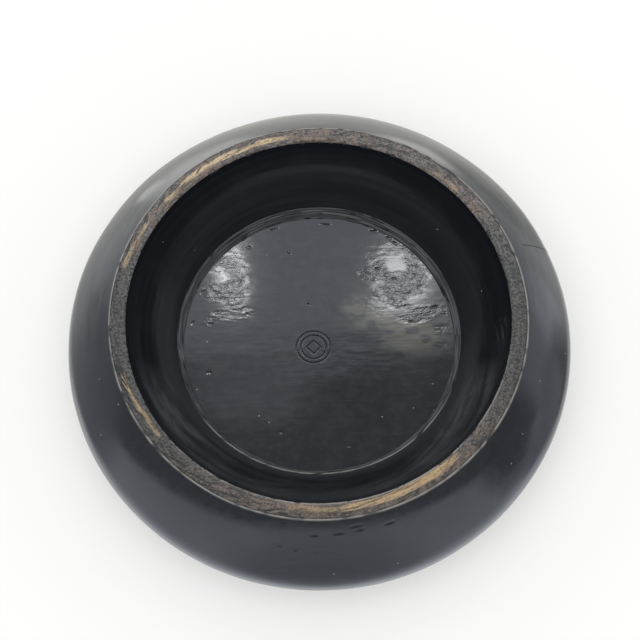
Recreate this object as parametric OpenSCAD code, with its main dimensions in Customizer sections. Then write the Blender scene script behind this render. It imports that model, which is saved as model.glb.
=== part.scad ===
// Shallow lacquered go stone bowl: a squat turned belly with a wide mouth, a worn rim hoop,
// a curved well, a sunken floor board with an incised mark, and a low foot ring.
// The origin is the centre of the foot's rest plane and +Z is the turning axis. Millimetres.

/* [Belly] */
// Widest diameter of the bowl
bowl_d = 150; // [146:1:156]
// Height from the rest plane to the highest line of the rim
bowl_h = 44; // [43:0.5:46]
// Height of the widest plane above the rest plane
belly_z = 21.3; // [20.5:0.1:22]
// Radius of the tight curve round the widest plane
belly_edge_r = 13; // [12:0.5:14]
// Slope of the shoulder below horizontal where it meets the rim
shoulder_slope = 44; // [42:0.5:45]
// Slope of the underside above horizontal where it meets the foot
underside_slope = 8; // [6:0.5:9]

/* [Mouth] */
// Clear diameter of the mouth at the rim
mouth_d = 111.8; // [111:0.1:113]
// Width of the rim hoop's top face
rim_w = 4.4; // [4:0.1:4.8]
// Thickness of the rim hoop
rim_t = 2.6; // [2.2:0.1:3]
// Drop of the rim hoop's top face from its inner to its outer edge
rim_fall = 0.3; // [0.1:0.05:0.4]

/* [Well] */
// Depth of the floor below the rim
floor_depth = 21; // [20.5:0.5:21.5]
// Depth of the ledge round the floor below the rim
ledge_depth = 16.9; // [16.5:0.1:17.5]
// Diameter of the ledge round the floor
ledge_d = 84.4; // [83:0.2:86]
// Inward lean of the ledge's short drop to the floor
ledge_lean = 2; // [1.5:0.1:2.2]
// Hollow of the well's wall, measured from a straight line
wall_bow = 2.2; // [1.8:0.1:2.6]
// Outer diameter of the well wall's lower end
wall_foot_d = 96; // [94:1:98]

/* [Boards] */
// Diameter of the floor board and the base board
board_d = 88; // [86.5:0.5:89]
// Thickness of the floor board
floor_t = 6; // [5:0.5:8]

/* [Foot] */
// Outer diameter of the foot ring
foot_d = 100; // [98:1:102]
// Width of the foot ring where it is glued on
foot_w = 7.5; // [7:0.1:8]
// Height of the foot ring
foot_h = 4.5; // [4.3:0.1:4.7]
// Inset of the foot ring's rest face from its two sides
foot_lean = 1; // [0.6:0.1:1.2]

/* [Mark] */
// Diameter of the mark's outer circle
mark_d = 10; // [8:0.5:12]
// Diameter of the mark's inner circle
mark_inner_d = 7.4; // [6:0.2:7.8]
// Length of each side of the lozenge in the mark
mark_side = 3; // [2:0.1:3.4]
// Width of each incised line
groove_w = 0.5; // [0.3:0.05:0.7]
// Depth of each incised line
groove_depth = 0.4; // [0.2:0.05:0.6]
// Offset of the mark from the floor's centre along X and Y
mark_at = [-1.7, -1.8]; // [-5:0.1:5]

/* [Hidden] */

round_fn = 180;
arc_steps = 16;
cut = 1;

lacquer_black = [0.035, 0.036, 0.04];
lacquer_inner = [0.05, 0.05, 0.055];
lacquer_floor = [0.14, 0.14, 0.145];
worn_rim = [0.42, 0.36, 0.28];

rim_in_r = mouth_d / 2;
rim_out_r = rim_in_r + rim_w;
rim_out_z = bowl_h - rim_fall;
rim_seat_z = bowl_h - rim_t;
rim_mid_r = rim_in_r + rim_w / 2;
floor_z = bowl_h - floor_depth;
ledge_r = ledge_d / 2;
ledge_z = bowl_h - ledge_depth;
floor_r = ledge_r - ledge_lean;
wall_foot_r = wall_foot_d / 2;
board_r = board_d / 2;
foot_r = foot_d / 2;

// Points along a circle from angle a0 to angle a1, both ends included.
function arc(centre, r, a0, a1) =
    [for (i = [0:arc_steps]) let (a = a0 + (a1 - a0) * i / arc_steps) centre + r * [cos(a), sin(a)]];

// A circle through point p, where its outward normal lies at angle a, that touches the belly's edge
// circle from outside. It gives the radius and the centre.
edge_c = [bowl_d / 2 - belly_edge_r, belly_z];
function touching_r(p, a) =
    let (d = p - edge_c, n = [cos(a), sin(a)])
    (d * d - belly_edge_r * belly_edge_r) / (2 * (d * n - belly_edge_r));
function touching_c(p, a) = p - touching_r(p, a) * [cos(a), sin(a)];
function direction(from, to) = atan2(to[1] - from[1], to[0] - from[0]);

// The shoulder's arc runs from the rim to the edge, and the underside's arc from the edge to the foot.
shoulder_start = [rim_out_r, rim_out_z];
shoulder_a = 90 - shoulder_slope;
shoulder_c = touching_c(shoulder_start, shoulder_a);
shoulder_end_a = direction(shoulder_c, edge_c);
underside_end = [foot_r, foot_h];
underside_a = underside_slope - 90;
underside_c = touching_c(underside_end, underside_a);
underside_start_a = direction(underside_c, edge_c);

// The well's wall is an arc from the mouth to the ledge, hollowed by wall_bow from the straight line.
wall_top = [rim_in_r, bowl_h];
wall_low = [ledge_r, ledge_z];
wall_half = norm(wall_top - wall_low) / 2;
wall_arc_r = (wall_half * wall_half + wall_bow * wall_bow) / (2 * wall_bow);
wall_lie = direction(wall_low, wall_top);
wall_c = (wall_top + wall_low) / 2 + (wall_arc_r - wall_bow) * [cos(wall_lie + 90), sin(wall_lie + 90)];
wall_top_a = direction(wall_c, wall_top);
wall_low_a = direction(wall_c, wall_low);
wall_seat_a = asin((rim_seat_z - wall_c[1]) / wall_arc_r);

module turned(points) {
    rotate_extrude($fn = round_fn) polygon(points);
}

module belly() {
    color(lacquer_black) turned(concat(
        [[rim_mid_r, rim_seat_z], [rim_out_r, rim_seat_z]],
        arc(shoulder_c, touching_r(shoulder_start, shoulder_a), shoulder_a, shoulder_end_a),
        arc(edge_c, belly_edge_r, shoulder_end_a, underside_start_a),
        arc(underside_c, touching_r(underside_end, underside_a), underside_start_a, underside_a),
        [[board_r, foot_h], [board_r, floor_z], [wall_foot_r, floor_z]]
    ));
}

module rim_ring() {
    color(worn_rim) turned(concat(
        [[rim_out_r, rim_seat_z], [rim_out_r, rim_out_z]],
        arc(wall_c, wall_arc_r, wall_top_a, wall_seat_a)
    ));
}

module well_wall() {
    color(lacquer_inner) turned(concat(
        arc(wall_c, wall_arc_r, wall_seat_a, wall_low_a),
        [[floor_r, floor_z], [wall_foot_r, floor_z], [rim_mid_r, rim_seat_z]]
    ));
}

module circle_groove(d) {
    difference() {
        cylinder(h = groove_depth + cut, d = d + groove_w, $fn = round_fn);
        translate([0, 0, -cut]) cylinder(h = groove_depth + 3 * cut, d = d - groove_w, $fn = round_fn);
    }
}

module lozenge_groove() {
    rotate(45) difference() {
        translate([0, 0, (groove_depth + cut) / 2])
            cube([mark_side + groove_w, mark_side + groove_w, groove_depth + cut], center = true);
        cube([mark_side - groove_w, mark_side - groove_w, 4 * cut], center = true);
    }
}

module floor_disc() {
    color(lacquer_floor) difference() {
        translate([0, 0, floor_z - floor_t]) cylinder(h = floor_t, r = board_r, $fn = round_fn);
        translate([mark_at[0], mark_at[1], floor_z - groove_depth]) {
            circle_groove(mark_d);
            circle_groove(mark_inner_d);
            lozenge_groove();
        }
    }
}

module base_board() {
    color(lacquer_inner) translate([0, 0, foot_h])
        cylinder(h = floor_z - floor_t - foot_h, r = board_r, $fn = round_fn);
}

module foot_ring() {
    color(lacquer_black) turned([
        [foot_r - foot_w, foot_h],
        [foot_r - foot_w + foot_lean, 0],
        [foot_r - foot_lean, 0],
        [foot_r, foot_h]
    ]);
}

belly();
rim_ring();
well_wall();
floor_disc();
base_board();
foot_ring();
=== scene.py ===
"""Looks of the lacquered go stone bowl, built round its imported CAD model. Lengths are metres."""

import math

import bpy
import numpy as np
from mathutils import Matrix, Vector


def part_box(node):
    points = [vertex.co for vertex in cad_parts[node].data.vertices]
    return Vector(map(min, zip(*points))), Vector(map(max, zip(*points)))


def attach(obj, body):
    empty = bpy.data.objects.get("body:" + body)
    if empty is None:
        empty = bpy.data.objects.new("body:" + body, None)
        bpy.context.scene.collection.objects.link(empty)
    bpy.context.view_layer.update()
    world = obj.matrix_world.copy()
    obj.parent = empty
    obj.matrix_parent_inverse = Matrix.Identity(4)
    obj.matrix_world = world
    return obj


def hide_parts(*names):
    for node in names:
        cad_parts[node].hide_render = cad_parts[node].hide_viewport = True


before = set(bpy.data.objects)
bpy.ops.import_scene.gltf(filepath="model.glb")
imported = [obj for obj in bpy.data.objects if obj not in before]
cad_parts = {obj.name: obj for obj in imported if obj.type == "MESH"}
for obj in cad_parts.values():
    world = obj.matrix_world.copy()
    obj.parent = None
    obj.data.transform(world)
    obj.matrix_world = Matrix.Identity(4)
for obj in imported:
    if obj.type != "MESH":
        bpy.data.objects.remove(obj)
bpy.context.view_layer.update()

MM = 0.001


# ---------------------------------------------------------------- sizes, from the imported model

def ring_radii(node, z, within=0.02 * MM):
    """The least and greatest radius of a node's vertices at one height."""
    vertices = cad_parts[node].data.vertices
    at = [math.hypot(v.co.x, v.co.y) for v in vertices if abs(v.co.z - z) < within]
    return min(at), max(at)


def greatest_radius(node):
    """The greatest radius of a node's vertices at any height."""
    return max(math.hypot(v.co.x, v.co.y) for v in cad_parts[node].data.vertices)


RIM_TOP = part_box("rim_ring")[1].z
RIM_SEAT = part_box("rim_ring")[0].z
MOUTH_R = ring_radii("rim_ring", RIM_TOP)[0]
RIM_R = greatest_radius("rim_ring")
RIM_EDGE_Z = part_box("belly")[1].z
BOWL_R = greatest_radius("belly")
FLOOR_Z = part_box("floor_disc")[1].z
FLOOR_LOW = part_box("floor_disc")[0].z
FLOOR_R = ring_radii("well_wall", FLOOR_Z)[0]
WALL_FOOT_R = ring_radii("well_wall", FLOOR_Z)[1]
SEAT_R = ring_radii("well_wall", RIM_SEAT)[1]
BOARD_R = greatest_radius("floor_disc")
FOOT_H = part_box("foot_ring")[1].z
FOOT_R = ring_radii("foot_ring", FOOT_H)[1]
FOOT_IN_R = ring_radii("foot_ring", FOOT_H)[0]
FOOT_LEAN = FOOT_R - ring_radii("foot_ring", 0)[1]
BASE_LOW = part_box("base_board")[0].z
BASE_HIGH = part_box("base_board")[1].z

# What the CAD source draws between those sizes. The two slopes are in degrees.
BELLY_Z = 21.3 * MM
EDGE_R = 13 * MM
SHOULDER_SLOPE = 44
UNDERSIDE_SLOPE = 8
LEDGE_R = 42.2 * MM
LEDGE_Z = RIM_TOP - 16.9 * MM
WALL_BOW = 2.2 * MM

# The incised mark: its middle, the radii of its circles, its lozenge from middle to corner, and half the
# width of its line.
MARK_AT = (-1.7 * MM, -1.8 * MM)
MARK_CIRCLES = (5 * MM, 3.7 * MM)
MARK_LOZENGE = 2.12 * MM
MARK_LINE = 0.14 * MM


# ---------------------------------------------------------------- curves and noise

def arc(centre, radius, a0, a1, count):
    """Points along an arc from angle a0 to a1, in degrees."""
    a = np.radians(np.linspace(a0, a1, count))
    return np.stack([centre[0] + radius * np.cos(a), centre[1] + radius * np.sin(a)], 1)


def touching(point, normal_a):
    """The circle through point that touches the belly's edge circle, and the angle at which it does.
    normal_a is the angle of its outward normal at point."""
    edge = np.array([BOWL_R - EDGE_R, BELLY_Z])
    d = np.array(point) - edge
    n = np.array([math.cos(math.radians(normal_a)), math.sin(math.radians(normal_a))])
    radius = (d @ d - EDGE_R ** 2) / (2 * (d @ n - EDGE_R))
    centre = np.array(point) - radius * n
    to_edge = edge - centre
    return centre, radius, math.degrees(math.atan2(to_edge[1], to_edge[0]))


def smooth(x, low, high):
    """0 below low, 1 above high, and a smooth step between."""
    t = np.clip((x - low) / (high - low), 0, 1)
    return t * t * (3 - 2 * t)


def lattice(ix, iy, iz, seed):
    """A repeatable number from -1 to 1 for each lattice point."""
    h = (ix * 374761393 + iy * 668265263 + iz * 2147483647 + seed * 1274126177) & 0xFFFFFFFF
    h = ((h ^ (h >> 13)) * 1274126177) & 0xFFFFFFFF
    h = (h ^ (h >> 16)) & 0xFFFFFFFF
    return h / 2147483647.5 - 1


def noise(x, y, z, seed):
    """Smooth noise from -1 to 1, with features one unit across. Each seed gives its own pattern."""
    shape = np.broadcast(x, y, z).shape
    cell, frac = [], []
    for c in (x, y, z):
        c = np.broadcast_to(c, shape)
        low = np.floor(c)
        t = c - low
        cell.append(low.astype(np.int64))
        frac.append(t * t * t * (t * (t * 6 - 15) + 10))
    out = np.zeros(shape)
    for dx in (0, 1):
        for dy in (0, 1):
            for dz in (0, 1):
                w = (frac[0] if dx else 1 - frac[0]) * (frac[1] if dy else 1 - frac[1])
                w = w * (frac[2] if dz else 1 - frac[2])
                out += w * lattice(cell[0] + dx, cell[1] + dy, cell[2] + dz, seed)
    return out


def layered(x, y, z, seed):
    """Noise with two finer and weaker layers added, over the sum of the three weights."""
    total, weight, scale = 0, 1, 1
    for k in range(3):
        total = total + weight * noise(x * scale, y * scale, z * scale, seed + 17 * k)
        weight, scale = weight * 0.5, scale * 2.03
    return total / 1.75


def turn_gap(a, centre):
    """The signed angle from centre to a, in degrees."""
    return (a - centre + 180) % 360 - 180


def arc_gap(a, centre, r):
    """The signed length round the turn from centre to a, at radius r."""
    return turn_gap(a, centre) * math.pi / 180 * r


def arc_length(phi, r):
    """The length round the turn to angle phi at radius r, in millimetres."""
    return np.radians(phi) * r / MM


# ---------------------------------------------------------------- meshes

def make_mesh(name, points, faces, masks):
    """A smooth-shaded object from points and faces of 3 or 4 corners, with one float attribute per mask."""
    mesh = bpy.data.meshes.new(name)
    mesh.vertices.add(len(points))
    mesh.vertices.foreach_set("co", np.asarray(points, np.float32).ravel())
    corners = np.concatenate([f.ravel() for f in faces])
    totals = np.concatenate([np.full(len(f), f.shape[1]) for f in faces])
    mesh.loops.add(len(corners))
    mesh.loops.foreach_set("vertex_index", corners.astype(np.int32))
    mesh.polygons.add(len(totals))
    mesh.polygons.foreach_set("loop_start", np.concatenate([[0], np.cumsum(totals)[:-1]]).astype(np.int32))
    mesh.polygons.foreach_set("loop_total", totals.astype(np.int32))
    mesh.polygons.foreach_set("use_smooth", np.ones(len(totals), bool))
    mesh.update(calc_edges=True)
    mesh.validate()
    for mask, values in masks.items():
        layer = mesh.attributes.new(mask, "FLOAT", "POINT")
        layer.data.foreach_set("value", np.asarray(values, np.float32).ravel())
    piece = bpy.data.objects.new(name, mesh)
    bpy.context.scene.collection.objects.link(piece)
    return piece


def outline_normals(outline):
    """Unit normals to the right of the way round a closed outline."""
    along = np.roll(outline, -1, 0) - np.roll(outline, 1, 0)
    normal = np.stack([along[:, 1], -along[:, 0]], 1)
    return normal / np.maximum(np.linalg.norm(normal, axis=1), 1e-9)[:, None]


def crisp(outline, reach=0.04 * MM, sharp=25):
    """The outline with a point close on each side of every sharp corner, so smooth shading stays true."""
    points = []
    for before, here, after in zip(np.roll(outline, 1, 0), outline, np.roll(outline, -1, 0)):
        into, out = here - before, after - here
        into_l, out_l = np.linalg.norm(into), np.linalg.norm(out)
        bend = math.degrees(math.acos(np.clip(into @ out / (into_l * out_l), -1, 1)))
        if bend > sharp and into_l > 2.5 * reach:
            points.append(here - into / into_l * reach)
        points.append(here)
        if bend > sharp and out_l > 2.5 * reach:
            points.append(here + out / out_l * reach)
    return np.array(points)


def even_turn(count):
    """Evenly spaced angles round one turn, in degrees."""
    return np.linspace(0, 360, count, endpoint=False)


def turned(name, outline, angles, relief):
    """A ring turned from a closed outline that runs anticlockwise in r and z, through angles in degrees.
    relief(phi, r, z, x, y) gives how far each vertex moves out of the surface, and its masks."""
    outline = crisp(outline)
    segments = len(angles)
    phi = np.radians(angles)[:, None]
    r, z = outline[None, :, 0], outline[None, :, 1]
    normal = outline_normals(outline)
    x, y = r * np.cos(phi), r * np.sin(phi)
    lift, masks = relief(np.degrees(phi), r, z, x, y)
    r2, z2 = r + lift * normal[None, :, 0], z + lift * normal[None, :, 1]
    points = np.stack([r2 * np.cos(phi), r2 * np.sin(phi), z2 + 0 * phi], 2).reshape(-1, 3)
    j, i = np.meshgrid(np.arange(segments), np.arange(len(outline)), indexing="ij")
    j2, i2 = (j + 1) % segments, (i + 1) % len(outline)
    n = len(outline)
    faces = np.stack([j * n + i, j2 * n + i, j2 * n + i2, j * n + i2], 2).reshape(-1, 4)
    full = {k: np.broadcast_to(v, x.shape) for k, v in masks.items()}
    return make_mesh(name, points, [faces], full)


def board(name, radii, segments, z_face, z_back, relief):
    """A closed round board whose face, up or down, follows relief(x, y) at the given radii."""
    way = 1 if z_face > z_back else -1
    phi = np.linspace(0, 2 * math.pi, segments, endpoint=False)[:, None]
    x, y = radii[None, :] * np.cos(phi), radii[None, :] * np.sin(phi)
    lift, masks = relief(x, y)
    centre_lift, centre_masks = relief(np.zeros((1, 1)), np.zeros((1, 1)))
    face = np.stack([x, y, z_face + way * lift], 2).reshape(-1, 3)
    back = np.stack([x[:, -1], y[:, -1], np.full(segments, z_back)], 1)
    ends = np.array([[0, 0, z_face + way * centre_lift[0, 0]], [0, 0, z_back]])
    n = len(radii)
    j, i = np.meshgrid(np.arange(segments), np.arange(n - 1), indexing="ij")
    j2 = (j + 1) % segments
    skin = np.stack([j * n + i, j * n + i + 1, j2 * n + i + 1, j2 * n + i], 2).reshape(-1, 4)
    k = np.arange(segments)
    k2 = (k + 1) % segments
    base = segments * n
    side = np.stack([k * n + n - 1, base + k, base + k2, k2 * n + n - 1], 1)
    cap = np.stack([np.full(segments, base + segments), k * n, k2 * n], 1)
    under = np.stack([np.full(segments, base + segments + 1), base + k2, base + k], 1)
    full = {}
    for key, v in masks.items():
        v = np.broadcast_to(v, x.shape)
        full[key] = np.concatenate([v.ravel(), v[:, -1], [np.ravel(centre_masks[key])[0], 0]])
    faces = [f[:, ::way] for f in (skin, side, cap, under)]
    return make_mesh(name, np.concatenate([face, back, ends]), faces, full)


# ---------------------------------------------------------------- node helpers

class Nodes:
    """A short way to write a material's or the world's nodes."""

    def __init__(self, tree):
        self.tree = tree
        tree.nodes.clear()

    def add(self, kind, inputs=None, **settings):
        """A node with its settings, and its inputs linked to a socket or set to a value."""
        node = self.tree.nodes.new(kind)
        for key, value in settings.items():
            setattr(node, key, value)
        for key, value in (inputs or {}).items():
            if isinstance(value, bpy.types.NodeSocket):
                self.tree.links.new(value, node.inputs[key])
            else:
                node.inputs[key].default_value = value
        return node

    def times(self, a, b):
        return self.add("ShaderNodeMath", {0: a, 1: b}, operation="MULTIPLY").outputs[0]

    def step(self, value, low, high, start=0.0, end=1.0):
        """start below low, end above high, and a smooth step between."""
        inputs = {"Value": value, "From Min": low, "From Max": high, "To Min": start, "To Max": end}
        return self.add("ShaderNodeMapRange", inputs, interpolation_type="SMOOTHSTEP").outputs["Result"]

    # A mix node holds the sockets of every data type: 2 and 3 mix numbers, and 6 and 7 mix colours.
    def mix(self, factor, a, b):
        """Colour a where factor is 0, and b where it is 1."""
        inputs = {0: factor, 6: a, 7: b}
        return self.add("ShaderNodeMix", inputs, data_type="RGBA", clamp_factor=True).outputs[2]

    def blend(self, factor, a, b):
        """Number a where factor is 0, and b where it is 1."""
        inputs = {0: factor, 2: a, 3: b}
        return self.add("ShaderNodeMix", inputs, data_type="FLOAT", clamp_factor=True).outputs[0]

    def place(self, scale=(1, 1, 1), turn=0):
        """Object coordinates in millimetres, times scale and then turned about Z by turn degrees."""
        where = self.add("ShaderNodeTexCoord").outputs["Object"]
        per_mm = tuple(s / MM for s in scale)
        inputs = {"Vector": where, "Rotation": (0, 0, math.radians(turn)), "Scale": per_mm}
        return self.add("ShaderNodeMapping", inputs).outputs["Vector"]

    def noise(self, vector, scale, detail=3.0, rough=0.5):
        inputs = {"Vector": vector, "Scale": scale, "Detail": detail, "Roughness": rough}
        return self.add("ShaderNodeTexNoise", inputs).outputs["Fac"]

    def specks(self, vector, scale, radius):
        """1 inside small round specks and 0 elsewhere, and a random colour for each cell."""
        inputs = {"Vector": vector, "Scale": scale, "Randomness": 1.0}
        cells = self.add("ShaderNodeTexVoronoi", inputs)
        return self.step(cells.outputs["Distance"], radius * 0.6, radius, 1.0, 0.0), cells.outputs["Color"]

    def mask(self, name):
        """One of the mesh's own masks."""
        return self.add("ShaderNodeAttribute", attribute_name=name).outputs["Fac"]

    def bump(self, height, strength, distance, normal=None):
        inputs = {"Height": height, "Strength": strength, "Distance": distance}
        if normal:
            inputs["Normal"] = normal
        return self.add("ShaderNodeBump", inputs).outputs["Normal"]


def rgb(r, g, b):
    return (r, g, b, 1.0)


def material(name):
    """A new material, its nodes and its shader."""
    mat = bpy.data.materials.new(name)
    mat.use_nodes = True
    nodes = Nodes(mat.node_tree)
    shader = nodes.add("ShaderNodeBsdfPrincipled")
    out = nodes.add("ShaderNodeOutputMaterial")
    nodes.tree.links.new(shader.outputs["BSDF"], out.inputs["Surface"])
    shader.inputs["IOR"].default_value = 1.5
    return mat, nodes, shader


def feed(nodes, shader, socket, value):
    nodes.tree.links.new(value, shader.inputs[socket])


# ---------------------------------------------------------------- materials

LACQUER = rgb(0.006, 0.0068, 0.0102)
LACQUER_WARM = rgb(0.0105, 0.0105, 0.0125)
# Near black for cracks, nicks, slots, pits and the incised mark: painted shade in recesses.
CREVICE_SHADE = rgb(0.003, 0.003, 0.0035)
DUST = rgb(0.32, 0.31, 0.29)
HAZE = rgb(0.034, 0.0355, 0.04)
# Rubbed lacquer on the far half of the belly: partly real wear, partly a painted sheen.
RUBBED_SHEEN = rgb(0.064, 0.066, 0.069)
BARE_WOOD = rgb(0.42, 0.3, 0.165)
# Paler bare wood for the rim's far half: a painted sheen.
BARE_WOOD_WITH_SHEEN = rgb(0.58, 0.44, 0.28)
AGED_WOOD = rgb(0.2, 0.148, 0.12)
# Paler ground for the rim's far half: a painted sheen.
GROUND_WITH_SHEEN = rgb(0.17, 0.162, 0.15)
DARK_GROUND = rgb(0.105, 0.1, 0.093)
STAINED_WOOD = rgb(0.07, 0.05, 0.04)
# Pale specks on the rim's face: painted glints.
GLINT_GREY = rgb(0.36, 0.33, 0.29)
SOOT = rgb(0.03, 0.03, 0.029)
# Pale grey for worn edges, which also serves as a painted highlight where an edge catches light.
ARRIS_WEAR_AND_HIGHLIGHT = rgb(0.3, 0.29, 0.27)
WELL_BLACK = rgb(0.0095, 0.0102, 0.013)
WELL_GREY = rgb(0.0125, 0.013, 0.0155)
# Pale grey for the scratches under the rim and for the painted reflections on the near wall.
SCRATCH_AND_REFLECTION_GREY = rgb(0.1, 0.102, 0.11)
LEDGE_DUST = rgb(0.1, 0.104, 0.112)
FLOOR_BLACK = rgb(0.0065, 0.0075, 0.0105)
FLOOR_GREY = rgb(0.013, 0.0128, 0.0145)
FLOOR_PALE = rgb(0.08, 0.078, 0.062)
# The stage's floor is called the table here, to keep it apart from the floor of the bowl.
TABLE = rgb(0.665, 0.667, 0.66)
TABLE_GLOW = rgb(0.985, 0.985, 0.975)
TABLE_GLOW_STRENGTH = 0.32
# Cells of dust in each millimetre.
DUST_SCALE = 0.33


def dust_specks(nodes, where, radius, share):
    """Round specks of dust on a share of the cells."""
    speck, shade = nodes.specks(where, DUST_SCALE, radius)
    pick = nodes.add("ShaderNodeSeparateColor", {"Color": shade}).outputs["Red"]
    return nodes.times(speck, nodes.step(pick, 1 - share, 1 - share + 0.01))


def hairlines(nodes, turn, scale, share):
    """Fine straight scratches that run one way, as a mask."""
    streaks = nodes.noise(nodes.place(scale, turn), 1.0, 0.0)
    return nodes.step(streaks, 1 - share, 1 - share + 0.05)


def outer_lacquer():
    mat, nodes, shader = material("outer_lacquer")
    where = nodes.place()
    cloud = nodes.noise(where, 0.09, 4.0, 0.6)
    fine = nodes.noise(where, 1.4, 3.0, 0.6)
    mottle = nodes.noise(where, 0.38, 5.0, 0.62)
    dust = dust_specks(nodes, where, 0.1, 0.2)
    scratch = hairlines(nodes, 35, (0.07, 1.7, 0.5), 0.3)
    colour = nodes.mix(nodes.step(cloud, 0.45, 0.75), LACQUER, LACQUER_WARM)
    colour = nodes.mix(nodes.step(mottle, 0.42, 0.72, 0.0, 0.06), colour, HAZE)
    # Paler rubbed streaks on the far half of the belly: partly real wear, partly a painted sheen.
    colour = nodes.mix(nodes.times(nodes.mask("rubbed_wear_and_sheen"), 0.42), colour, RUBBED_SHEEN)
    colour = nodes.mix(nodes.times(scratch, 0.14), colour, HAZE)
    colour = nodes.mix(nodes.times(dust, 0.6), colour, DUST)
    # Pale edges: partly wear, partly a painted highlight.
    colour = nodes.mix(nodes.mask("edge_wear_and_highlight"), colour, ARRIS_WEAR_AND_HIGHLIGHT)
    # Cracks and nicks are painted darker: painted shade.
    colour = nodes.mix(nodes.mask("crack"), colour, CREVICE_SHADE)
    feed(nodes, shader, "Base Color", colour)
    rough = nodes.blend(nodes.step(mottle, 0.35, 0.7), 0.07, 0.17)
    rough = nodes.blend(nodes.times(scratch, 0.25), rough, 0.3)
    rough = nodes.blend(dust, rough, 0.7)
    rough = nodes.blend(nodes.mask("edge_wear_and_highlight"), rough, 0.45)
    feed(nodes, shader, "Roughness", rough)
    first = nodes.bump(mottle, 0.08, 0.1 * MM)
    feed(nodes, shader, "Normal", nodes.bump(fine, 0.08, 0.02 * MM, first))
    return mat


def inner_lacquer():
    mat, nodes, shader = material("inner_lacquer")
    shader.inputs["Specular IOR Level"].default_value = 0.15
    where = nodes.place()
    cloud = nodes.noise(where, 0.12, 4.0, 0.6)
    fine = nodes.noise(where, 1.8, 3.0, 0.6)
    mottle = nodes.noise(nodes.place((0.5, 0.5, 2.0)), 0.5, 4.0, 0.6)
    dust = dust_specks(nodes, where, 0.07, 0.08)
    colour = nodes.mix(nodes.step(cloud, 0.45, 0.8), WELL_BLACK, WELL_GREY)
    # The scratches under the rim at the right are real; the pale patches on the near wall are painted
    # reflections.
    scratch_and_reflection = nodes.times(nodes.mask("scratch_and_reflection"), nodes.step(mottle, 0.3, 0.7, 0.55, 1.0))
    colour = nodes.mix(nodes.times(nodes.mask("ring"), 0.13), colour, HAZE)
    colour = nodes.mix(scratch_and_reflection, colour, SCRATCH_AND_REFLECTION_GREY)
    colour = nodes.mix(nodes.mask("dusty"), colour, LEDGE_DUST)
    # The pale bead on the near side is a painted highlight, partly edge wear.
    colour = nodes.mix(nodes.mask("edge_wear_and_highlight"), colour, ARRIS_WEAR_AND_HIGHLIGHT)
    colour = nodes.mix(dust, colour, DUST)
    # Slots in the step are painted darker: painted shade.
    colour = nodes.mix(nodes.mask("slot_shade"), colour, CREVICE_SHADE)
    feed(nodes, shader, "Base Color", colour)
    feed(nodes, shader, "Roughness", nodes.blend(nodes.step(cloud, 0.3, 0.7), 0.15, 0.25))
    feed(nodes, shader, "Normal", nodes.bump(fine, 0.1, 0.03 * MM))
    return mat


def floor_lacquer():
    mat, nodes, shader = material("floor_lacquer")
    where = nodes.place()
    grain = nodes.noise(nodes.place((0.12, 1.0, 1.0)), 1.6, 4.0, 0.6)
    crinkle = nodes.noise(nodes.place((0.7, 2.0, 1.0)), 0.8, 3.0, 0.6)
    cloud = nodes.noise(where, 0.07, 4.0, 0.6)
    mottle = nodes.noise(where, 0.3, 5.0, 0.65)
    dust = dust_specks(nodes, where, 0.075, 0.1)
    scratch = hairlines(nodes, -38, (0.1, 3.0, 0.5), 0.27)
    colour = nodes.mix(nodes.step(cloud, 0.4, 0.8), FLOOR_BLACK, FLOOR_GREY)
    colour = nodes.mix(nodes.step(mottle, 0.4, 0.7, 0.0, 0.33), colour, HAZE)
    colour = nodes.mix(nodes.mask("pale"), colour, FLOOR_PALE)
    colour = nodes.mix(nodes.times(scratch, 0.3), colour, HAZE)
    colour = nodes.mix(dust, colour, DUST)
    # Pits, short cracks and the incised mark are painted darker: painted shade.
    colour = nodes.mix(nodes.mask("pit"), colour, CREVICE_SHADE)
    feed(nodes, shader, "Base Color", colour)
    coarse = nodes.mask("coarse")
    feed(nodes, shader, "Roughness", nodes.blend(coarse, 0.065, 0.055))
    first = nodes.bump(grain, 0.05, 0.03 * MM)
    second = nodes.bump(crinkle, nodes.times(coarse, 0.5), 0.05 * MM, first)
    feed(nodes, shader, "Normal", second)
    return mat


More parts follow.
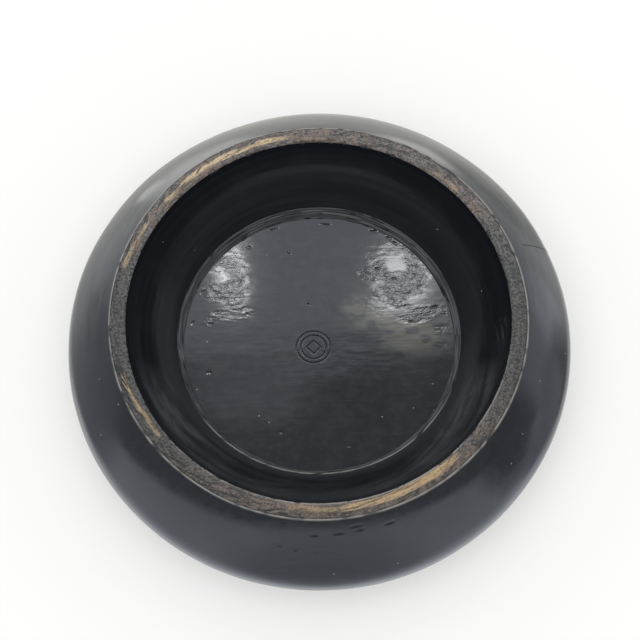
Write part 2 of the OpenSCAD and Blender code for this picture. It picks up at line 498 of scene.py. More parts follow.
def worn_rim():
    mat, nodes, shader = material("worn_rim")
    where = nodes.place()
    grain = nodes.noise(nodes.place((0.5, 1.0, 1.0)), 2.2, 5.0, 0.65)
    blotch = nodes.noise(where, 0.35, 4.0, 0.6)
    fine = nodes.noise(where, 1.5, 4.0, 0.7)
    salt = nodes.noise(where, 2.1, 3.0, 0.65)
    # The rim's far half is painted paler as a sheen, in its ground, its glints and its bare wood.
    ground = nodes.mix(nodes.mask("pale"), DARK_GROUND, GROUND_WITH_SHEEN)
    colour = nodes.mix(nodes.step(fine, 0.4, 0.62), SOOT, ground)
    brown = nodes.times(nodes.mask("brown"), nodes.step(blotch, 0.35, 0.6))
    wood = nodes.mix(nodes.step(fine, 0.36, 0.56), STAINED_WOOD, AGED_WOOD)
    colour = nodes.mix(brown, colour, wood)
    # Pale specks on the rim's face are painted glints, more of them on the far half.
    glint = nodes.blend(nodes.mask("pale"), 0.35, 0.8)
    painted_glints = nodes.times(nodes.step(salt, 0.58, 0.72), glint)
    colour = nodes.mix(painted_glints, colour, GLINT_GREY)
    gold = nodes.times(nodes.mask("bare"), nodes.step(grain, 0.38, 0.48, 0.25, 1.0))
    # Paler bare wood on the far half: a painted sheen.
    colour = nodes.mix(gold, colour, nodes.mix(nodes.mask("pale"), BARE_WOOD, BARE_WOOD_WITH_SHEEN))
    colour = nodes.mix(nodes.mask("groove"), colour, SOOT)
    colour = nodes.mix(nodes.mask("fleck"), colour, SOOT)
    # The pale line at the mouth's edge is partly wear and partly a painted highlight.
    colour = nodes.mix(nodes.mask("edge"), colour, ARRIS_WEAR_AND_HIGHLIGHT)
    colour = nodes.mix(nodes.mask("black"), colour, LACQUER)
    feed(nodes, shader, "Base Color", colour)
    rough = nodes.blend(nodes.mask("bare"), 0.38, 0.55)
    rough = nodes.blend(nodes.mask("black"), rough, 0.16)
    feed(nodes, shader, "Roughness", rough)
    feed(nodes, shader, "Normal", nodes.bump(fine, 0.7, 0.1 * MM))
    return mat


def pale_floor():
    mat, nodes, shader = material("pale_floor")
    shader.inputs["Base Color"].default_value = TABLE
    shader.inputs["Emission Color"].default_value = TABLE_GLOW
    shader.inputs["Emission Strength"].default_value = TABLE_GLOW_STRENGTH
    shader.inputs["Roughness"].default_value = 1.0
    shader.inputs["Specular IOR Level"].default_value = 0.0
    return mat


OUTER, INNER, FLOOR, RIM = outer_lacquer(), inner_lacquer(), floor_lacquer(), worn_rim()


def finish_piece(piece, mat, node):
    """Gives a piece its material and its place in the frame."""
    piece.data.materials.append(mat)
    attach(piece, "root")
    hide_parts(node)


# ---------------------------------------------------------------- belly

BELLY_SEGMENTS = 620
# The crack that runs down the right shoulder: its angle, how far to each side the mesh is finer, in
# degrees, the radius where it starts, and its half width and depth.
CRACK_A = 20.5
CRACK_REACH = 1.5
CRACK_START = RIM_R + 3.5 * MM
CRACK_HALF = 0.13 * MM
CRACK_DEPTH = 0.25 * MM
# Nicks in the near shoulder, cut in and painted darker as shade: angle, radius, then half length round and
# half width across, in mm.
NICKS = ((-92.4, 64, 0.8, 0.32),
         (-86.4, 63.8, 1.3, 0.24),
         (-81.8, 62.6, 1.0, 0.25),
         (-81, 63.6, 0.8, 0.22),
         (-97, 67.5, 1.1, 0.26),
         (-100.8, 67, 0.8, 0.24),
         (-92.3, 68.2, 0.8, 0.22),
         (-73.2, 63.7, 0.9, 0.24))
NICK_DEPTH = 0.09 * MM


def belly_outline():
    """The shoulder, the edge and the underside as three touching arcs, then the hidden inside."""
    centre, radius, end = touching((RIM_R, RIM_EDGE_Z), 90 - SHOULDER_SLOPE)
    low_centre, low_radius, start = touching((FOOT_R, FOOT_H), UNDERSIDE_SLOPE - 90)
    shoulder = arc(centre, radius, 90 - SHOULDER_SLOPE, end, 70)
    edge = arc((BOWL_R - EDGE_R, BELLY_Z), EDGE_R, end, start, 44)
    under = arc(low_centre, low_radius, start, UNDERSIDE_SLOPE - 90, 18)
    inside = np.array([[BOARD_R, FOOT_H], [BOARD_R, FLOOR_Z], [WALL_FOOT_R, FLOOR_Z],
                       [SEAT_R, RIM_SEAT], [RIM_R, RIM_SEAT]])
    lip = 0.22 * MM
    top = np.array([[RIM_R, RIM_EDGE_Z - lip], [RIM_R + 0.3 * lip, RIM_EDGE_Z - 0.3 * lip]])
    whole = np.concatenate([shoulder[3:], edge[1:], under[1:], inside, top])
    return whole[::-1].copy()


def belly_turn():
    """Angles round the belly, closer together at the crack."""
    coarse = even_turn(BELLY_SEGMENTS)
    fine = CRACK_A + np.linspace(-CRACK_REACH, CRACK_REACH, 50)
    return np.concatenate([coarse[coarse < fine[0]], fine, coarse[coarse > fine[-1]]])


def nick_mask(phi, r):
    """1 in the middle of each nick."""
    nicks = 0.0
    for a, at_r, long, high in NICKS:
        aside = arc_gap(phi, a, r) / MM / long
        nicks = np.maximum(nicks, np.exp(-(aside ** 2 + ((r / MM - at_r) / high) ** 2) ** 2))
    return nicks


def belly_relief(phi, r, z, x, y):
    near_rim = smooth(r, RIM_R - 0.5 * MM, RIM_R + 0.3 * MM) + (z < FOOT_H + 0.5 * MM) * (r > FOOT_R)
    below_seat = (r > SEAT_R + 0.5 * MM) | (z < FLOOR_Z - MM)
    skin = np.clip(np.where(z < RIM_SEAT + 0.2 * MM, below_seat, near_rim), 0, 1)
    skin = skin * (r > FOOT_R - 0.1 * MM)
    sweep = noise(x / (24 * MM), y / (24 * MM), z / (14 * MM), 3) * 0.1 * MM
    ripple = noise(x / (8 * MM), y / (8 * MM), z / (6 * MM), 5) * 0.03 * MM
    ripple = ripple + noise(x / (2.6 * MM), y / (2.6 * MM), z / (2.6 * MM), 6) * 0.0035 * MM
    ripple = ripple + noise((r - 0.6 * z) / (1.7 * MM), phi / 45, 0 * x, 7) * 0.0045 * MM
    nicks = nick_mask(phi, r) * (z > BELLY_Z)
    off_crack = arc_gap(phi, CRACK_A, r) - noise(r / (3 * MM), 0 * r, 0 * r, 9) * 0.4 * MM
    on_crack = smooth(r, CRACK_START, CRACK_START + 2 * MM) * (z > BELLY_Z)
    crack = np.exp(-(off_crack / CRACK_HALF) ** 2) * on_crack
    lift = (sweep + ripple) * skin - CRACK_DEPTH * crack - NICK_DEPTH * nicks
    worn = smooth(noise(x / (2 * MM), y / (2 * MM), 0 * x, 11), -1.2, 0.4)
    # A pale line along the belly's top edge by the rim: partly wear, partly a painted highlight where the
    # edge catches light.
    edge_wear_and_highlight = (1 - smooth(r + 0 * x, RIM_R + 0.12 * MM, RIM_R + 0.24 * MM)) * (z > RIM_SEAT) * worn
    along, across = np.radians(phi) * BOWL_R, r - z
    rubbed = layered(along / (9 * MM), across / (2.2 * MM), z / (9 * MM), 12)
    rubbed = rubbed + 0.4 * layered(along / (1.5 * MM), across / (0.7 * MM), 0 * x, 14)
    # The rubbed streaks are kept to the far half, where they are partly real wear and partly a painted
    # sheen.
    rubbed_wear_and_sheen = smooth(rubbed, -0.5, 0.9) * smooth(y, -18 * MM, 15 * MM)
    # Cracks and nicks carry a painted shade as well as their cut depth.
    return lift, {"edge_wear_and_highlight": edge_wear_and_highlight, "crack": np.maximum(crack, 0.8 * nicks), "rubbed_wear_and_sheen": rubbed_wear_and_sheen}


belly = turned("belly_turned", belly_outline(), belly_turn(), belly_relief)
finish_piece(belly, OUTER, "belly")


# ---------------------------------------------------------------- rim ring

# Where the lacquer has worn through to bright wood: centre and half length in degrees round the rim,
# then the middle and half width across it, from 0 at the mouth to 1 outside, and how bare it is.
BARE_PATCHES = ((-67, 24, 0.36, 0.26, 1.0), (-93, 9, 0.38, 0.2, 0.5), (120, 28, 0.5, 0.19, 1.0),
                (155, 11, 0.55, 0.15, 0.55), (202, 9, 0.55, 0.16, 0.8), (213, 6, 0.4, 0.14, 0.6),
                (47, 6, 0.2, 0.16, 0.3), (88, 8, 0.35, 0.16, 0.15))
# Parts of the rim that look alike: centre and half length in degrees, and how strongly.
BROWN_ARCS = ((-80, 60, 0.7), (110, 55, 0.8), (48, 24, 0.5))
FLECK_ARCS = ((188, 30, 1.0), (228, 35, 1.0), (150, 14, 1.0))
RAGGED_ARCS = ((52, 26, 1.0),)
# The near side of the mouth's edge, painted pale: partly wear, partly a painted highlight.
WORN_LIT_EDGE_ARCS = ((-75, 75, 1.0),)
# The rim's far half, painted paler as a sheen: centre and half length in degrees, and how strongly.
SHEEN_HALF_ARCS = ((90, 92, 1.0),)
RIM_SEGMENTS = 1680


def wall_arc():
    """Centre, radius and end angles of the well wall's hollow, from the mouth to the ledge."""
    top, low = np.array([MOUTH_R, RIM_TOP]), np.array([LEDGE_R, LEDGE_Z])
    half = np.linalg.norm(top - low) / 2
    radius = (half ** 2 + WALL_BOW ** 2) / (2 * WALL_BOW)
    lie = math.atan2(*(top - low)[::-1]) + math.pi / 2
    centre = (top + low) / 2 + (radius - WALL_BOW) * np.array([math.cos(lie), math.sin(lie)])
    angle = [math.degrees(math.atan2(*(p - centre)[::-1])) for p in (top, low)]
    seat = math.degrees(math.asin((RIM_SEAT - centre[1]) / radius))
    return centre, radius, angle[0], seat, angle[1]


def rim_outline():
    """The hollow's top, the rim's slightly crowned and softened face, and the hidden outside."""
    centre, radius, top_a, seat_a, _ = wall_arc()
    side = arc(centre, radius, seat_a, top_a, 10)
    t = np.linspace(0, 1, 38)
    soft = 0.2 * MM
    width, crown = RIM_R - MOUTH_R, 0.1 * MM
    r = MOUTH_R + 0.05 * MM + (width - 0.1 * MM) * t
    drop = soft * (np.exp(-t * width / (0.22 * MM)) + 0.6 * np.exp(-(1 - t) * width / (0.12 * MM)))
    z = RIM_TOP + (RIM_EDGE_Z - RIM_TOP) * t - drop - crown * (1 - np.sin(math.pi * t))
    face = np.stack([r, z], 1)
    whole = np.concatenate([side[:-1], face, [[RIM_R, RIM_EDGE_Z - 0.5 * MM], [RIM_R, RIM_SEAT]]])
    return whole[::-1].copy()


def arcs_mask(phi, arcs):
    """1 near the middle of any of the arcs, each a centre, a half length and a strength."""
    total = 0.0
    for centre, half, strength in arcs:
        total = np.maximum(total, strength * (1 - smooth(np.abs(turn_gap(phi, centre)), half * 0.5, half)))
    return total


def bare_wood(phi, across, r):
    """How far the lacquer has worn away, in streaks that follow the rim."""
    arc_mm = arc_length(phi, r)
    streak = layered(arc_mm / 3.2, across * 9 + 0.15 * arc_mm, 0 * arc_mm, 26)
    wander = 0.1 * noise(arc_mm / 6, 0 * arc_mm, 0 * arc_mm, 25)
    bare = 0
    for centre, half, middle, wide, strength in BARE_PATCHES:
        along = 1 - smooth(np.abs(turn_gap(phi, centre)), half * 0.45, half)
        band = np.exp(-((across - middle - wander) / wide) ** 4)
        bare = np.maximum(bare, strength * smooth(along * band, 0.1, 0.7))
    return bare * smooth(streak, -0.75, -0.05)


def rim_relief(phi, r, z, x, y):
    face = smooth(z, RIM_TOP - 0.9 * MM, RIM_TOP - 0.45 * MM)
    across = (r - MOUTH_R) / (RIM_R - MOUTH_R)
    arc_mm = arc_length(phi, r)
    grain = noise(x / (1.3 * MM), y / (0.5 * MM), 0 * x, 21) * 0.035 * MM
    tooth = noise(x / (0.55 * MM), y / (0.5 * MM), 0 * x, 28) * 0.03 * MM
    pits = -smooth(noise(x / (0.6 * MM), y / (0.5 * MM), 0 * x, 22), 0.45, 0.9) * 0.14 * MM
    swell = noise(x / (7 * MM), y / (7 * MM), 0 * x, 23) * 0.05 * MM
    edge = np.exp(-((across - 0.02) / 0.12) ** 2)
    ragged = 1 + 1.6 * arcs_mask(phi, RAGGED_ARCS)
    chipped = smooth(noise(x / (1.8 * MM), y / (1.8 * MM), 0 * x, 24), 0.35, 0.85) * edge
    chips = -chipped * 0.28 * MM * ragged
    bare = bare_wood(phi, across, r) * face
    lift = face * (grain + tooth + pits + swell + chips) - 0.05 * MM * bare
    flecky = arcs_mask(phi, FLECK_ARCS)
    fleck = smooth(noise(arc_mm / 1.5, across * 6, 0 * x, 27), 0.6 - 0.4 * flecky, 0.8 - 0.35 * flecky)
    fleck = fleck * smooth(across + 0 * x, 0.2, 0.7) * face
    # A pale line along the mouth's edge on the near side: partly wear, partly a painted highlight.
    near = arcs_mask(phi, WORN_LIT_EDGE_ARCS) * smooth(noise(arc_mm / 2.5, 0 * x, 0 * x, 29), -0.7, 0.0)
    line = np.exp(-((across - 0.03) / 0.035) ** 2) * near * (z > RIM_TOP - 0.5 * MM)
    brown = arcs_mask(phi, BROWN_ARCS)
    # The far half of the rim, painted paler as a sheen.
    pale = arcs_mask(phi, SHEEN_HALF_ARCS)
    black = 1 - smooth(z + 0 * x, RIM_TOP - 0.5 * MM, RIM_TOP - 0.3 * MM)
    black = black * (across < 0.3)
    groove = smooth(layered(arc_mm / 6, across * 5, 0 * x, 30), 0.12, 0.5) * face * 0.6
    masks = {"bare": bare, "fleck": fleck, "brown": brown, "pale": pale,
             "edge": line, "black": black, "groove": groove}
    return lift, masks


rim = turned("rim_turned", rim_outline(), even_turn(RIM_SEGMENTS), rim_relief)
finish_piece(rim, RIM, "rim_ring")


# ---------------------------------------------------------------- well wall

WALL_SEGMENTS = 760
STEP_RIDGES = 4
# Painted reflections on the near wall, and the painted highlight on the ledge's bead, which is partly edge
# wear: centre and half length in degrees, strength.
WALL_REFLECTIONS = ((-142, 30, 0.65), (-38, 28, 0.75), (-90, 60, 0.3))
BEAD_HIGHLIGHT_ARCS = ((-88, 75, 1.0),)
# A few upright scratches under the rim at the right: centre and half width in degrees.
SCRATCHED_A = -4
SCRATCHED_HALF = 3.5


def wall_outline():
    """The hollow, a small bead on the ledge, and the short drop to the floor with its turning ridges."""
    centre, radius, _, seat_a, low_a = wall_arc()
    hollow = arc(centre, radius, seat_a, low_a, 56)
    bead = 0.22 * MM
    corner = np.array([LEDGE_R, LEDGE_Z])
    foot = np.array([FLOOR_R, FLOOR_Z])
    down = (foot - corner) / np.linalg.norm(foot - corner)
    out = np.array([-down[1], down[0]]) * -1
    back = hollow[-6] - corner
    back = back / np.linalg.norm(back)
    keep = hollow[np.linalg.norm(hollow - corner, axis=1) > 3 * bead]
    a = np.linspace(0, 1, 11)[:, None]
    start, end = corner + back * 2 * bead, corner + down * 2 * bead
    bend = (1 - a) ** 2 * start + 2 * a * (1 - a) * corner + a ** 2 * end
    bump = bead * np.sin(math.pi * a) * (back + down) * -0.45
    bend = bend + bump
    t = np.linspace(0, 1, 30)[1:, None]
    ridge = 0.13 * MM * np.sin(2 * math.pi * STEP_RIDGES * t) * np.sin(math.pi * t) ** 0.5
    step = end + (foot - end) * t + ridge * out
    outside = np.array([[WALL_FOOT_R, FLOOR_Z], [SEAT_R, RIM_SEAT]])
    return np.concatenate([keep, bend, step, outside])[::-1].copy()


def wall_relief(phi, r, z, x, y):
    arc_mm = arc_length(phi, r)
    shown = (r < WALL_FOOT_R - 0.1 * MM) | (z > FLOOR_Z + 0.1 * MM)
    shown = shown * (r < SEAT_R - 0.02 * MM) * smooth(z, FLOOR_Z, FLOOR_Z + 0.3 * MM)
    shown = shown * (1 - smooth(z, RIM_SEAT - 0.6 * MM, RIM_SEAT))
    rings = noise(r / (0.9 * MM), phi / 70, z / (0.9 * MM), 31) * 0.012 * MM
    swell = noise(x / (16 * MM), y / (16 * MM), z / (9 * MM), 33) * 0.035 * MM
    near_ledge = np.exp(-((z - LEDGE_Z + MM) / (2.2 * MM)) ** 2)
    uneven = noise(x / (3.5 * MM), y / (3.5 * MM), z / (2 * MM), 35) * 0.025 * MM * near_ledge
    drop = (z < LEDGE_Z - 0.3 * MM) * (r < LEDGE_R)
    slots = smooth(noise(arc_mm / 3, z / (0.6 * MM), 0 * x, 36), 0.55, 0.9) * drop
    lift = shown * (rings + swell + uneven - 0.22 * MM * slots)
    # The pale patches at mid-height of the near wall are painted reflections.
    mottle = smooth(layered(arc_mm / 12, z / (4 * MM), 0 * x, 38), -1.1, 0.8)
    middle = smooth(z, LEDGE_Z + MM, LEDGE_Z + 4 * MM) * (1 - smooth(z, RIM_SEAT - 5 * MM, RIM_SEAT))
    scratch = smooth(noise(arc_mm / 0.8, z / (3 * MM), 0 * x, 37), 0.35, 0.6)
    beside = np.exp(-(turn_gap(phi, SCRATCHED_A) / SCRATCHED_HALF) ** 2)
    at = beside * np.exp(-((z - RIM_SEAT + 3 * MM) / (2 * MM)) ** 2)
    scratch_and_reflection = np.maximum(scratch * at, arcs_mask(phi, WALL_REFLECTIONS) * mottle * middle)
    dusty = drop * (0.45 + 0.55 * smooth(noise(arc_mm / 6, z / (0.45 * MM), 0 * x, 39), -0.4, 0.4))
    # The ledge's bead is painted pale on the near side only: a painted highlight, partly edge wear.
    near = arcs_mask(phi, BEAD_HIGHLIGHT_ARCS) * smooth(noise(arc_mm / 3, 0 * x, 0 * x, 40), -0.9, -0.2)
    bead = np.exp(-(np.hypot(r - LEDGE_R, z - LEDGE_Z) / (0.34 * MM)) ** 4)
    ring = smooth(layered(phi / 60, z / (1.1 * MM), r / (1.6 * MM), 42), -0.1, 0.5) * (z > LEDGE_Z)
    # The slots carry a painted shade as well as their cut depth.
    masks = {"scratch_and_reflection": scratch_and_reflection, "dusty": dusty, "edge_wear_and_highlight": bead * near, "slot_shade": slots * 0.7, "ring": ring}
    return lift, masks


wall = turned("well_wall_turned", wall_outline(), even_turn(WALL_SEGMENTS), wall_relief)
finish_piece(wall, INNER, "well_wall")


# ---------------------------------------------------------------- floor disc

def segment_distance(x, y, a, b):
    """How far each point is from the line between a and b."""
    ax, ay, bx, by = a[0], a[1], b[0], b[1]
    t = ((x - ax) * (bx - ax) + (y - ay) * (by - ay)) / ((bx - ax) ** 2 + (by - ay) ** 2)
    t = np.clip(t, 0, 1)
    return np.hypot(x - ax - t * (bx - ax), y - ay - t * (by - ay))


FLOOR_SEGMENTS = 600
PIT_DEPTH = 0.07 * MM
EDGE_CRACK_DEPTH = 0.12 * MM
MARK_DEPTH = 0.08 * MM
# Short cracks along the rim of the floor board, each from one point to another in millimetres.
EDGE_CRACKS = (((21.5, 33.2), (24.2, 30.8)), ((16.4, 35.2), (18.6, 35.3)), ((1, 38), (4, 37.8)),
               ((-14, 36.3), (-12, 36.9)), ((30.4, 27.4), (32.6, 24.8)), ((-35, 16.5), (-34, 17.3)))
# Patches of crinkled and of pale lacquer: centre, then reach along X and Y, in millimetres.
CRINKLED = ((-28, 20, 7, 10), (-26, 10, 7, 2.5), (23, 20, 11, 11), (30, 8, 7, 3), (37, 4, 2.5, 8),
            (-34, 8, 4, 2), (16, 22, 5, 2))
PALE = ((18, 8, 11, 6), (29, 3, 13, 9), (11, 11, 5, 4))
# Pits in the floor: centre, then half length and half height, in millimetres.
PITS = ((18, 23, 0.8, 0.25), (29.5, 20.8, 0.5, 0.2), (23, 19.5, 0.7, 0.2), (35, 10, 0.8, 0.3),
        (27.6, 5.5, 0.5, 0.25), (-20.5, 31, 0.4, 0.4), (-37, 16.5, 0.5, 0.3), (-37.5, 7, 0.6, 0.25),
        (-32.4, 6.5, 0.8, 0.2), (-21.4, 9.4, 0.4, 0.2), (-8.6, 28.5, 0.7, 0.25), (-33, -9, 0.7, 0.2),
        (33, -14, 0.6, 0.2), (-12, -28, 0.5, 0.25), (8, -33, 0.6, 0.2), (-3, 12, 0.3, 0.2))


def patches(x, y, places):
    """1 at the middle of each of the places, falling off at its reach along X and Y."""
    total = 0.0
    for px, py, wide, high in places:
        near = np.exp(-((x / MM - px) / wide) ** 2 - ((y / MM - py) / high) ** 2)
        total = np.maximum(total, near)
    return total


def mark_depth(x, y):
    """0 to 1 across the incised mark: two circles round a lozenge."""
    mx, my = x - MARK_AT[0], y - MARK_AT[1]
    from_centre = np.hypot(mx, my)
    depth = 0
    for circle in MARK_CIRCLES:
        depth = np.maximum(depth, np.exp(-((from_centre - circle) / MARK_LINE) ** 4))
    lozenge = np.abs(np.abs(mx) + np.abs(my) - MARK_LOZENGE) / math.sqrt(2)
    return np.maximum(depth, np.exp(-(lozenge / MARK_LINE) ** 4))


def edge_crack_mask(x, y):
    """1 along each of the short cracks."""
    crack = 0.0
    for a, b in EDGE_CRACKS:
        gap = segment_distance(x, y, np.array(a) * MM, np.array(b) * MM)
        gap = gap + noise(x / MM, y / MM, 0 * x, 55) * 0.12 * MM
        crack = np.maximum(crack, 1 - smooth(gap, 0.02 * MM, 0.22 * MM))
    return crack


def floor_relief(x, y):
    far = np.hypot(x, y)
    shown = 1 - smooth(far, FLOOR_R + 0.5 * MM, FLOOR_R + 2 * MM)
    warp = noise(x / (26 * MM), y / (18 * MM), 0 * x, 41) * 0.05 * MM
    lacquer = layered(x / (6 * MM), y / (3 * MM), 0 * x, 43) * 0.004 * MM
    grain = noise(x / (6 * MM), y / (0.9 * MM), 0 * x, 45) * 0.0011 * MM
    broken = smooth(noise(x / (6 * MM), y / (3 * MM), 0 * x, 47), -0.7, 0.1)
    coarse = smooth(patches(x, y, CRINKLED), 0.15, 0.7) * broken
    rough = layered(x / (2.2 * MM), y / (0.8 * MM), 0 * x, 49) * 0.017 * MM * coarse
    blur = 1 + 0.5 * noise(x / (0.6 * MM), y / (0.4 * MM), 0 * x, 51)
    pit = smooth(patches(x, y, PITS) * blur, 0.35, 0.7)
    crack = edge_crack_mask(x, y)
    mark = mark_depth(x, y)
    raised = warp + lacquer + grain + rough
    lift = shown * (raised - PIT_DEPTH * pit - EDGE_CRACK_DEPTH * crack - MARK_DEPTH * mark)
    worn = smooth(layered(x / (4 * MM), y / (2.5 * MM), 0 * x, 57), -0.35, 0.15)
    pale = smooth(patches(x, y, PALE), 0.15, 0.9) * (0.3 + 0.7 * worn)
    # Pits, cracks and the incised mark get a painted shade on top of their cut depth.
    painted_recess_shade = np.maximum(np.maximum(pit, crack) * 0.75, mark * 0.3)
    return lift, {"coarse": coarse, "pit": painted_recess_shade, "pale": pale * (1 - coarse)}


mark_rings = np.arange(0.2, 8.4, 0.16) * MM
outer_rings = np.linspace(8.5 * MM, BOARD_R, 112)
floor_rings = np.concatenate([mark_rings, outer_rings])
floor_disc = board("floor_turned", floor_rings, FLOOR_SEGMENTS, FLOOR_Z, FLOOR_LOW, floor_relief)
finish_piece(floor_disc, FLOOR, "floor_disc")


# ---------------------------------------------------------------- foot ring and base board

FOOT_SEGMENTS = 360
BASE_SEGMENTS = 180


def foot_outline():
    """Two leaning sides, and a flat rest face with softened edges."""
    soft = 0.5 * MM
    outer = arc((FOOT_R - FOOT_LEAN - soft, soft), soft, -90, 0, 6)
    inner = arc((FOOT_IN_R + FOOT_LEAN + soft, soft), soft, 180, 270, 6)
    rise = np.linspace(0, 1, 8)[1:, None]
    up = outer[-1] + (np.array([FOOT_R, FOOT_H]) - outer[-1]) * rise
    down = np.array([FOOT_IN_R, FOOT_H]) + (inner[0] - np.array([FOOT_IN_R, FOOT_H])) * rise[:-1]
    across = np.linspace(inner[-1][0], outer[0][0], 8)[1:-1]
    rest = np.stack([across, 0 * across], 1)
    return np.concatenate([outer, up, [[FOOT_IN_R, FOOT_H]], down, inner, rest])


def foot_relief(phi, r, z, x, y):
    side = smooth(z, 0.2 * MM, 0.8 * MM) * (z < FOOT_H - 0.1 * MM)
    lift = side * noise(x / (5 * MM), y / (5 * MM), z / (2 * MM), 61) * 0.04 * MM
    patchy = smooth(noise(x / (2 * MM), y / MM, 0 * x, 63), -0.4, 0.4)
    worn = (1 - smooth(z, 0.1 * MM, 0.35 * MM)) * patchy
    return lift + 0 * phi, {"edge_wear_and_highlight": worn * 0.6, "crack": 0 * x, "rubbed_wear_and_sheen": 0 * x}


def base_relief(x, y):
    """The underside is dished a little and keeps its turning rings."""
    far = np.hypot(x, y)
    dish = (1 - smooth(far, 0, FOOT_IN_R)) * -0.6 * MM
    rings = noise(far / (1.1 * MM), x / (60 * MM), y / (60 * MM), 65) * 0.03 * MM
    shown = 1 - smooth(far, FOOT_IN_R - 1.5 * MM, FOOT_IN_R)
    lift = (dish + rings * shown) * (far < FOOT_IN_R)
    return lift, {"edge_wear_and_highlight": 0 * far, "crack": 0 * far, "rubbed_wear_and_sheen": 0 * far}


base_rings = np.linspace(0.4 * MM, BOARD_R, 130)
base = board("base_turned", base_rings, BASE_SEGMENTS, BASE_LOW, BASE_HIGH, base_relief)
finish_piece(base, OUTER, "base_board")

foot = turned("foot_turned", foot_outline(), even_turn(FOOT_SEGMENTS), foot_relief)
finish_piece(foot, OUTER, "foot_ring")


# ---------------------------------------------------------------- stage, light and camera

# The stage's floor is a disc of this radius, in metres.
TABLE_R = 30
TABLE_SEGMENTS = 64


def add_floor():
    """A plain pale disc at height 0, which reflections don't see."""
    steps = TABLE_SEGMENTS
    a = np.linspace(0, 2 * math.pi, steps, endpoint=False)
    ring = np.stack([TABLE_R * np.cos(a), TABLE_R * np.sin(a), 0 * a], 1)
    points = np.concatenate([ring, [[0, 0, 0]]])
    k = np.arange(steps)
    faces = np.stack([k, (k + 1) % steps, np.full(steps, steps)], 1)
    ground = make_mesh("pale_floor", points, [faces], {})
    ground.data.materials.append(pale_floor())
    ground.visible_glossy = False


def direction(toward):
    return Vector(toward).normalized()


def cosine(degrees):
    return math.cos(math.radians(degrees))


def aim(azimuth, elevation):
    """The unit vector at an azimuth from +X and an elevation above the floor, both in degrees."""
    a, e = math.radians(azimuth), math.radians(elevation)
    return Vector((math.cos(e) * math.cos(a), math.cos(e) * math.sin(a), math.sin(e)))


ROOM_LIGHT = rgb(0.7, 0.7, 0.7)
BACKDROP = rgb(0.99, 0.992, 0.984)
# Reflections are cool all round but for the part that lies toward TINT_TOWARD, which is warm.
COOL = rgb(0.94, 1.0, 1.095)
WARM = rgb(1.0, 1.0, 0.955)
TINT_TOWARD = (0, 0.6, -0.8)
ROOM = 0.5
# What the lacquer reflects, each over the one before: azimuth and elevation of the middle of a field,
# the angle from there at which the field is whole, the angle at which it has gone, and its brightness.
FIELDS = ((-90, -65, 74.5, 79.5, 1.5),
          (-90, -22, 12, 38, 0.95),
          (78, -10, 76, 86, 1.05),
          (172, -14, 10, 26, 0.72),
          (106, -40, 6, 20, 1.25),
          (112, -19, 3, 15, 2.3),
          (71, -21, 2, 11, 2.3),
          (136, -16, 4, 15, 1.3),
          (24, -18, 3, 12, 1.45),
          (55, -33, 4, 14, 0.65),
          (9, -27, 4, 16, 0.45),
          (-19, -3, 5, 18, 0.42),
          (-8, -24, 4, 15, 0.8),
          (5, -18, 3, 10, 0.8),
          (90, -69, 26, 46, 0.95),
          (-90, 82, 42, 68, 0.12),
          (90, 72, 5, 9, 0.52),
          (96.5, 70.2, 1.2, 2.3, 1.2),
          (121, -28.5, 1.8, 3.4, 2.2))
# A bright ceiling that ends in a straight edge through two directions: brightness, its middle as
# azimuth and elevation, and the angles from there at which it is whole and at which it has gone.
CEILING = 1.85
CEILING_MIDDLE = (90, 58)
CEILING_INNER = 20
CEILING_OUTER = 34
CEILING_EDGE = ((-0.02, 0.3365, 0.941), (0.02, 0.3385, 0.941))


def add_world():
    """White all round for diffuse light, and a studio of white and dark fields for reflections."""
    world = bpy.data.worlds.new("studio")
    bpy.context.scene.world = world
    world.use_nodes = True
    nodes = Nodes(world.node_tree)
    way = nodes.add("ShaderNodeTexCoord").outputs["Generated"]

    def along(toward):
        inputs = {0: way, 1: direction(toward)}
        return nodes.add("ShaderNodeVectorMath", inputs, operation="DOT_PRODUCT").outputs["Value"]

    level = ROOM
    for azimuth, elevation, inner, outer, value in FIELDS:
        near = nodes.step(along(aim(azimuth, elevation)), cosine(outer), cosine(inner))
        level = nodes.blend(near, level, value)
    left, right = (Vector(v) for v in CEILING_EDGE)
    lit = nodes.step(along(left.cross(right)), 0.0, math.sin(math.radians(1)))
    near = nodes.step(along(aim(*CEILING_MIDDLE)), cosine(CEILING_OUTER), cosine(CEILING_INNER))
    lit = nodes.times(lit, near)
    level = nodes.blend(lit, level, CEILING)
    tint = nodes.mix(nodes.step(along(TINT_TOWARD), 0.3, 1.0), COOL, WARM)
    reflected = nodes.add("ShaderNodeVectorMath", {0: tint, "Scale": level}, operation="SCALE").outputs[0]
    seen = nodes.add("ShaderNodeLightPath").outputs
    colour = nodes.mix(seen["Is Glossy Ray"], ROOM_LIGHT, reflected)
    colour = nodes.mix(seen["Is Camera Ray"], colour, BACKDROP)
    shine = nodes.add("ShaderNodeBackground", {"Color": colour, "Strength": 1.0})
    out = nodes.add("ShaderNodeOutputWorld")
    nodes.tree.links.new(shine.outputs[0], out.inputs["Surface"])


# The two lamps in the floor's highlights: name, direction, distance, width and height, brightness.
WINDOWS = (("left_window", (-0.0595, 0.39, 0.9188), 1.53, (0.024, 0.065), 27),
           ("right_window", (0.055, 0.3805, 0.9232), 1.53, (0.045, 0.06), 14))
# A sun with a wide disc, for even light from above: direction, strength over pi, and width in degrees.
SKY_TOWARD = (-0.05, -0.32, 1)
SKY_STRENGTH = 0.37
SKY_SPREAD = 55


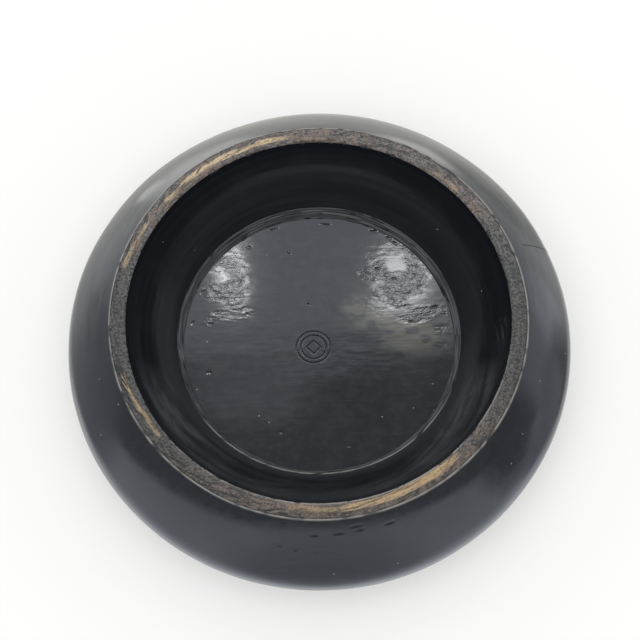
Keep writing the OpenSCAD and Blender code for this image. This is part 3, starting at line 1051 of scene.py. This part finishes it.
def hang_lamp(name, kind, toward, away):
    """A lamp of one kind, hung toward a direction and away from the origin, that shines back at it."""
    lamp = bpy.data.objects.new(name, bpy.data.lights.new(name, kind))
    bpy.context.scene.collection.objects.link(lamp)
    lamp.location = direction(toward) * away
    lamp.rotation_euler = direction(toward).to_track_quat("Z", "Y").to_euler()
    return lamp


def add_window(name, toward, away, size, strength):
    """A rectangular lamp that the camera never sees, of a given brightness."""
    lamp = hang_lamp(name, "AREA", toward, away)
    lamp.data.shape = "RECTANGLE"
    lamp.data.size, lamp.data.size_y = size
    lamp.data.energy = strength * math.pi * size[0] * size[1]
    lamp.visible_camera = False


def add_sky_lamp():
    """Broad light from above, even over the whole floor and not seen in reflections."""
    lamp = hang_lamp("overhead", "SUN", SKY_TOWARD, 0)
    lamp.data.energy = SKY_STRENGTH * math.pi
    lamp.data.angle = math.radians(SKY_SPREAD)
    lamp.visible_glossy = False


# The camera: tilt from the turning axis and roll, in degrees, then distance, slides and lens.
CAMERA_TILT = 21
CAMERA_ROLL = 1.5
CAMERA_AWAY = 577 * MM
CAMERA_RIGHT = 0.45 * MM
CAMERA_UP = -1.15 * MM
LENS_MM = 112.5
SENSOR_MM = 36


def add_camera():
    """Looks down into the mouth from the near side, at the photograph's angle."""
    tilt, roll = math.radians(CAMERA_TILT), math.radians(CAMERA_ROLL)
    back = Vector((0, -math.sin(tilt), math.cos(tilt)))
    level_up = Vector((0, math.cos(tilt), math.sin(tilt)))
    level_right = Vector((1, 0, 0))
    right = level_right * math.cos(roll) - level_up * math.sin(roll)
    up = level_right * math.sin(roll) + level_up * math.cos(roll)
    data = bpy.data.cameras.new("camera")
    data.lens, data.sensor_width = LENS_MM, SENSOR_MM
    data.clip_start, data.clip_end = 0.01, 200
    camera = bpy.data.objects.new("camera", data)
    bpy.context.scene.collection.objects.link(camera)
    place = Vector((0, 0, RIM_TOP)) + back * CAMERA_AWAY + right * CAMERA_RIGHT + up * CAMERA_UP
    turn = Matrix((right, up, back)).transposed()
    camera.matrix_world = Matrix.Translation(place) @ turn.to_4x4()
    bpy.context.scene.camera = camera


add_floor()
add_world()
for window in WINDOWS:
    add_window(*window)
add_sky_lamp()
add_camera()
bpy.context.scene.view_settings.view_transform = "Standard"

bpy.context.view_layer.update()
